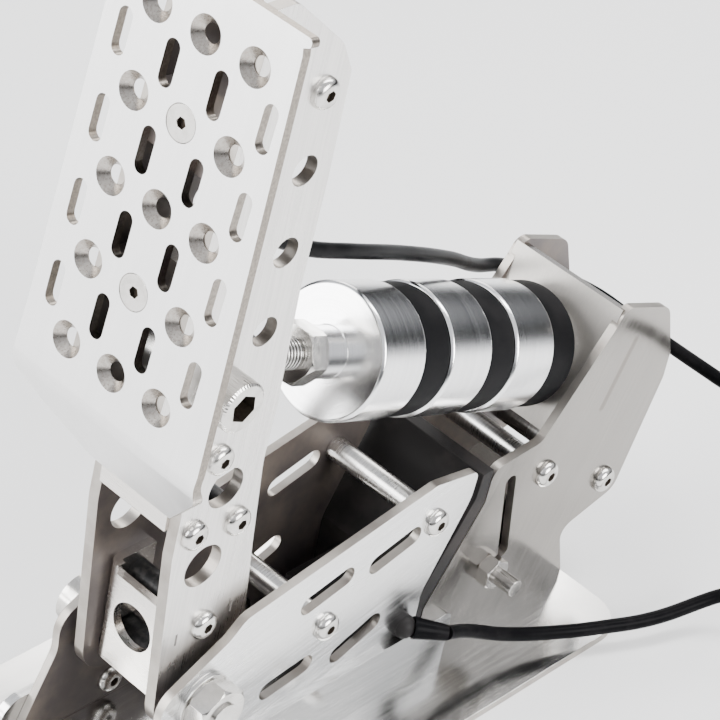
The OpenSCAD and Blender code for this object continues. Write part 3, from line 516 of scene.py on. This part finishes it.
def button_screw(shank, head=0.00475, high=0.00275, rim=0.0004, thick=0.0025, flat_top=0.52, steps=7):
    piece = blank(head, rim, sides=48)
    ring_faces(piece, looks_up)
    radius, level = head, rim
    for step in range(1, steps + 1):
        turn = math.pi / 2 * step / steps
        next_radius = head * (flat_top + (1 - flat_top) * math.cos(turn))
        next_level = rim + (high - rim) * math.sin(turn)
        bpy.ops.mesh.extrude_region_move(TRANSFORM_OT_translate={"value": (0, 0, next_level - level)})
        bpy.ops.transform.resize(value=(next_radius / radius, next_radius / radius, 1))
        radius, level = next_radius, next_level
    draw_shank(piece, head, thick, shank)
    bpy.ops.object.mode_set(mode="OBJECT")
    socket_cut(piece, across_flats=0.003, deep=0.0016, top=high)
    bevel = piece.modifiers.new("broken edge", "BEVEL")
    bevel.width = 0.00012
    bevel.segments = 2
    bevel.limit_method = "ANGLE"
    bevel.angle_limit = math.radians(30)
    bpy.ops.object.modifier_apply(modifier=bevel.name)
    bpy.ops.object.shade_smooth_by_angle(angle=math.radians(34))
    return piece


def settle(piece):
    """Puts the piece's place and turn into its mesh."""
    alone(piece)
    bpy.ops.object.transform_apply(location=True, rotation=True, scale=True)
    return piece


def copies(model, places):
    """Copies of one model, each turned and moved to its place, joined to one piece. The model goes."""
    made = []
    for number, (where, turn) in enumerate(places):
        copy = bpy.data.objects.new("copy", model.data.copy())
        bpy.context.collection.objects.link(copy)
        spun = Matrix.Rotation(0.6 + 1.7 * number, 4, "Z")
        copy.matrix_world = Matrix.Translation(where) @ Euler(turn).to_matrix().to_4x4() @ spun
        made.append(copy)
    bpy.data.objects.remove(model, do_unlink=True)
    alone(made[0])
    for copy in made[1:]:
        copy.select_set(True)
    if len(made) > 1:
        bpy.ops.object.join()
    return settle(bpy.context.object)


def side_places(face, spots, inward=False):
    """Both sides' places on a face, in millimetres: a head points out from it, or in."""
    out = []
    for y, z in spots:
        for side in (-1, 1):
            point = -side if inward else side
            out.append((Vector((side * face, y, z)) / 1000, (0, point * math.pi / 2, 0)))
    return out


# These places are in millimetres, out from the middle or as (y, z) on the pedal's side. The thrust is
# where the push rod bears on the bracket.
channel_inner_face, arm_face, cheek_face = 21, 17.7, 24
joints = {joint["name"]: joint for joint in frame["joints"]}
pivot = Vector(joints["arm_pivot"]["pos_m"][1:]) * 1000
thrust = Vector((90.349, 93.308))
cheek_spots = [(-22, 46), (23, 66)]
bracket_spots = [thrust + Vector(off) for off in ((-12.4, -33), (23, -51.7))]
up_the_arm = [(10.9, 205.5), (-4.4, 89.8), (7.9, 61.6), (-9.6, 64.6), (1.4, 24.8)]
arm_spots = [pivot + Vector(off) for off in up_the_arm]
for what, body, face, spots in (("cheek", "base", cheek_face, cheek_spots),
                                ("bracket", "base", cheek_face, bracket_spots),
                                ("arm", "pedal_arm", arm_face, arm_spots)):
    give(copies(button_screw(shank=0.011), side_places(face, spots)), what + "_button_screws", body,
         fastener, "fastener_steel", what + "_screws")
channel_places = side_places(channel_inner_face, [(-66, 14), (-38, 14), (-10, 14)], inward=True)
give(copies(button_screw(shank=0.0052), channel_places), "channel_button_screws", "base", fastener,
     "fastener_steel", "foot_screws")
foot_places = [(Vector((x, y, 6)) / 1000, (0, 0, 0)) for x in (-10.5, 10.5) for y in (60, 90)]
give(copies(button_screw(shank=0.0052), foot_places), "bracket_floor_screws", "base", fastener,
     "fastener_steel", "bracket_foot_screws")

# Bolts and nuts.
# The M10 pivot bolt with its nut, the M6 bolt low in the bracket with its nut, and the M10 nuts of the
# push rod. They are cold formed stainless with chamfered corners.
for node in ("pivot_bolt", "pivot_nut", "bracket_bolt", "bracket_nut"):
    give(worked(node, edge=0.00018), node + "_stainless", "base", fastener, "fastener_steel", node)
for node in ("jam_nut", "preload_nut"):
    give(worked(node, edge=0.00018), node + "_stainless", "rod", fastener, "fastener_steel", node)

# Amplifier box, glands, boot and pad.
# Moulded black plastic: the box between the cheeks, the gland through the right cheek, the one on the
# load cell and the pad against the bracket. The boot is of the lead's own rubber and is pushed over it.
moulding = Finish("black_moulding", specular=0.12)
grit = moulding.at().noise(1700, 4, 0.7)
wiped = moulding.at().noise(55, 4).fade(0.42, 0.7)
moulding.colour(wiped.between((0.013, 0.012, 0.012), (0.030, 0.026, 0.025)))
moulding.rough(0.42 + grit * 0.16 + wiped * 0.08)
moulding.relief(grit, 0.00008, 0.5)
give(worked("amplifier_box", edge=0.0008, steps=3), "amplifier_case", "base", moulding, "black_plastic",
     "amplifier_box")
give(worked("lead_gland", edge=0.0002), "cheek_gland", "base", moulding, "black_plastic", "lead_gland")
give(worked("cell_gland", edge=0.0002), "cell_outlet", "pedal_arm", moulding, "black_plastic", "cell_gland")
give(worked("lead_boot", edge=0.0003), "cable_boot", "base", jacket, "lead_jacket", "lead_boot")
give(worked("bracket_pad", edge=0.0003), "black_pad", "base", moulding, "black_plastic", "bracket_pad")

# Arm plates.
# Two laser cut 4 mm stainless plates with see-through holes, brushed from the pivot up to the top.
# The sleeve on the pivot bolt and five spacers keep them apart.
arm_steel = steel_sheet("arm_steel", (0.78, 0.76, 0.735), (1500, 1500, 30), turn=(-3, 0, 0), streaks=0.7)
for side in ("left_arm_plate", "right_arm_plate"):
    arm_plate = give(worked(side, edge=0.00035), side + "_sheet", "pedal_arm", arm_steel, "sheet_steel",
                     side)
    edged(arm_plate, cut_edge, is_sheet_edge)
    # The faces that look inwards get the dark brown painted shade.
    edged(arm_plate, painted_inner_shade, looks_inwards)

# Numerals.
# A small figure 1 is etched on the right arm plate on each side of its lowest screw, about 4 mm high.
# Each is a thin grey mark on the brushed face.
etched = Finish("etched_grey", metallic=0.4)
etched.colour(etched.at().noise(2200, 2).between((0.10, 0.09, 0.085), (0.26, 0.24, 0.225)))
etched.rough(0.5 + etched.at().noise(1500, 2) * 0.2)
mark_thick = 0.00002
facing_right = (math.pi / 2, 0, math.pi / 2)
for number, (y, z) in enumerate(((-0.0830, 0.0658), (-0.0612, 0.0680))):
    bpy.ops.object.select_all(action="DESELECT")
    bpy.ops.object.text_add(location=(arm_face / 1000 + mark_thick, y, z), rotation=facing_right)
    mark = bpy.context.object
    mark.data.body = "1"
    mark.data.size = 0.0062
    mark.data.offset = 0.00008
    mark.data.extrude = mark_thick
    mark.data.align_x = "CENTER"
    bpy.ops.object.convert(target="MESH")
    give(settle(bpy.context.object), "etched_numeral_%d" % (number + 1), "pedal_arm", etched, "sheet_steel")

# Front web and cross block.
# The stainless web that closes the arm's front below the foot plate is folded into a U, with its notch
# and its large hole. The small block is milled and sits under the foot plate's lip.
web_steel = steel_sheet("web_steel", (0.79, 0.755, 0.715), (30, 1400, 1400), base_rough=0.2, streaks=0.6)
give(worked("front_web", edge=0.0004), "arm_web", "pedal_arm", web_steel, "sheet_steel", "front_web")
give(worked("lip_block", edge=0.0004), "cross_block", "pedal_arm", web_steel, "sheet_steel", "lip_block")

# Foot plate.
# A 3 mm stainless plate with fifteen countersunk holes and sixteen slots, its lower end folded back
# into a lip. It is brushed upwards and bead rubbed, so it looks paler and softer than the other sheets.
# Two flush M5 screws hold it to the bars behind it.
lean = 9.07
plate_middle = Vector((0, -0.1, 0.2157))
plate_up = Vector((0, math.sin(math.radians(lean)), math.cos(math.radians(lean))))
plate_out = Vector((0, -plate_up.z, plate_up.y))
flat_end = -0.066
screw_off_middle = 0.0256
plate_steel = steel_sheet("foot_plate_steel", (0.86, 0.855, 0.85), (1700, 1700, 60), turn=(-lean, 0, 0),
                          base_rough=0.36, streaks=0.12)
# Painted shade: the countersinks are coloured a darker brown than the plate, for the shade in their cones.
sink_shaded_steel = Finish("countersunk_painted_shade", metallic=1.0)
sink_shade_marks = sink_shaded_steel.at().noise(1500, 2, 0.5)
sink_shaded_steel.colour(sink_shade_marks.fade(0.35, 0.65).between((0.38, 0.345, 0.31), (0.46, 0.43, 0.395)))
sink_shaded_steel.rough(0.24 + sink_shade_marks * 0.08)
rubbed_edge = Finish("rubbed_plate_edge", metallic=1.0)
rub_marks = rubbed_edge.at().noise(1200, 3, 0.6)
rubbed_edge.colour(rub_marks.fade(0.3, 0.7).between((0.20, 0.175, 0.15), (0.30, 0.27, 0.235)))
rubbed_edge.rough(0.24 + rub_marks * 0.14)
rubbed_edge.relief(rub_marks, 0.00002, 0.4)


def on_flat(middle):
    """True above the fold, where the plate is flat."""
    return (middle - plate_middle).dot(plate_up) > flat_end


def on_cut(middle, normal):
    if on_flat(middle):
        return abs(normal.dot(plate_out)) < 0.5
    return abs(normal.x) > 0.7


def in_sink(middle, normal):
    return on_flat(middle) and 0.6 < normal.dot(plate_out) < 0.82 and abs(normal.x) < 0.74


def in_flush_socket(middle, normal):
    """True in a screw's 3 mm socket, from just under the face to 2 mm deep."""
    for side in (-1, 1):
        off = middle - plate_middle - plate_up * (side * screw_off_middle)
        depth = -off.dot(plate_out)
        if 0.0002 < depth < 0.002 and (off + plate_out * depth).length < 0.00182:
            return True
    return False


foot_sheet = give(worked("foot_plate", edge=0.0003), "foot_plate_sheet", "pedal_arm", plate_steel,
                  "sheet_steel", "foot_plate")
edged(foot_sheet, rubbed_edge, on_cut)
# The countersinks get the darker painted shade.
edged(foot_sheet, sink_shaded_steel, in_sink)
flush_screws = give(worked("plate_screws", edge=0.0001), "flush_screws", "pedal_arm", fastener,
                    "fastener_steel", "plate_screws")
edged(flush_screws, socket_shade, in_flush_socket)
# The bars behind the foot plate are coloured with the dark brown painted shade.
give(worked("pad_bars", edge=0.0004), "plate_bars", "pedal_arm", painted_inner_shade, "sheet_steel", "pad_bars")

# Cross screw.
# An M10 socket head screw with a knurled head of 16 mm goes through both arm plates and the rod's eye
# and is held by a nut on the left. The fork beside the eye is milled from stainless bar.
rod_eye = Vector(joints["rod_pivot"]["pos_m"])


def cap_screw(shank=0.0445, head=0.008, high=0.0095, thread=0.005, teeth=48, knurl=0.034,
              chamfer_wide=0.0008, chamfer_deep=0.0006):
    """The knurl is the share of the head's radius that every second pair of its corners stands back."""
    piece = blank(head, high, sides=4 * teeth)
    ring_faces(piece, looks_up)
    bpy.ops.mesh.inset(thickness=chamfer_wide, depth=0.0)
    draw_shank(piece, head, thread, shank)
    bpy.ops.object.mode_set(mode="OBJECT")
    for point in piece.data.vertices:
        if point.co.xy.length > head * 0.99:
            step = round(math.atan2(point.co.y, point.co.x) / (2 * math.pi) * 4 * teeth) % 4
            if step in (0, 1):
                point.co.xy *= 1 - knurl
            if point.co.z > high * 0.9:
                point.co.z -= chamfer_deep
    socket_cut(piece, across_flats=0.008, deep=0.005, top=high)
    bpy.ops.object.shade_smooth_by_angle(angle=math.radians(24))
    return piece


head_seat = rod_eye + Vector((arm_face / 1000, 0, 0))
give(copies(cap_screw(), [(head_seat, (0, math.pi / 2, 0))]), "cross_screw", "pedal_arm", fastener,
     "fastener_steel", "cross_pin")
give(worked("pin_nut", edge=0.00018), "cross_screw_nut", "pedal_arm", fastener, "fastener_steel", "pin_nut")
give(worked("cell_yoke", edge=0.0004), "cell_fork", "pedal_arm", turned_steel, "bright_steel", "cell_yoke")

# Load cell.
# A square aluminium beam with two bores, milled all over. Four blacked cap screws bolt it to the
# foot plate's upper bar and to the fork of the cross screw.
alloy = Finish("turned_aluminium", metallic=1.0)
milled = alloy.at(scale=(90, 2400, 90)).noise(1.0, 3)
alloy.colour(milled.fade(0.3, 0.7).between((0.80, 0.80, 0.80), (0.91, 0.91, 0.905)))
alloy.rough(0.2 + milled * 0.14)
alloy.relief(milled, 0.00003, 0.4)
give(worked("load_cell", edge=0.0004), "load_cell_beam", "pedal_arm", alloy, "turned_aluminium",
     "load_cell")
give(worked("cell_screws", edge=0.0002), "cell_cap_screws", "pedal_arm", oxide, "black_oxide",
     "cell_screws")

# Push rod.
# An M10 stainless rod with a forged eye on the cross screw. It is threaded from below the eye to its rear
# end, and a jam nut locks the first disc on it.
rod_turn = (-111, 0, 0)
thread_pitch = 0.0015
rod_steel = Finish("threaded_steel", metallic=1.0)
on_rod = rod_steel.at(middle=rod_eye, turn=rod_turn)
reach = (on_rod.axis(0).size() ** 2.0 + on_rod.axis(1).size() ** 2.0) ** 0.5
down = on_rod.axis(2)
on_thread = reach.fade(0.0053, 0.0051) * down.fade(0.0300, 0.0306)
winding = down * (2 * math.pi / thread_pitch)
ridge = winding.maths("SINE", winding)
forged = rod_steel.at().noise(320, 3, 0.6)
# Painted shade: the thread's grooves are coloured dark, as the thread is only a bump on a plain rod.
rod_steel.colour((on_thread * ridge.fade(0.2, -0.9)).between((0.66, 0.65, 0.63), (0.22, 0.21, 0.20)))
rod_steel.rough(0.2 + forged * 0.16)
rod_steel.relief(ridge * on_thread + forged * 0.1, 0.0003, 0.8)
give(worked("push_rod", edge=0.0003), "push_rod_eye", "rod", rod_steel, "bright_steel", "push_rod")
give(worked("preload_washer", edge=0.0002), "thrust_washer", "rod", turned_steel, "bright_steel",
     "preload_washer")

# Discs and rubbers.
# Three aluminium discs, faced and turned on a lathe, with a plain black rubber behind each. The first
# disc is screwed onto the push rod. The others slide on it and the load keeps them in place.
lathed = Finish("lathed_aluminium", metallic=1.0)
on_rod = lathed.at(middle=rod_eye, turn=rod_turn)
reach = (on_rod.axis(0).size() ** 2.0 + on_rod.axis(1).size() ** 2.0) ** 0.5
down = on_rod.axis(2)
feed = (reach * 2300.0).beside(0.0, down * 2300.0).noise(1.0, 2, 0.5)
wide_feed = (reach * 420.0).beside(0.0, down * 420.0).noise(1.0, 2, 0.5)
lathed.colour(feed.fade(0.3, 0.7).between((0.86, 0.86, 0.865), (0.95, 0.95, 0.95)))
lathed.rough(0.14 + wide_feed * 0.1)
lathed.relief(feed + wide_feed * 0.6, 0.00004, 0.5)
for node, body in (("disc_1", "rod"), ("disc_2", "second_disc"), ("disc_3", "third_disc")):
    give(worked(node, edge=0.0003), node + "_turned", body, lathed, "turned_aluminium", node)
rubber = Finish("black_rubber", specular=0.06)
bloom = rubber.at().noise(70, 4).fade(0.4, 0.7)
pits = rubber.at().noise(2400, 3, 0.7)
rubber.colour(bloom.between((0.004, 0.004, 0.0045), (0.010, 0.0095, 0.010)))
rubber.rough(0.5 + pits * 0.15 + bloom * 0.1)
rubber.relief(pits, 0.00006, 0.4)
for node, body in (("rubber_1", "second_disc"), ("rubber_2", "third_disc"), ("rubber_3", "hub")):
    pad = give(worked(node, edge=0.0003), node + "_moulded", body, rubber, "black_rubber", node)
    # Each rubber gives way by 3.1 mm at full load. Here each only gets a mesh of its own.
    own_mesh(pad)

# Rear hub and its seat.
# A stainless hub behind the last rubber, turned with a ball nose that bears in a seat.
# The seat is a turned ring on the front of the bracket's web.
give(worked("rear_hub", edge=0.0003), "hub_turned", "hub", turned_steel, "bright_steel", "rear_hub")
give(worked("rod_seat", edge=0.0002), "seat_turned", "base", turned_steel, "bright_steel", "rod_seat")
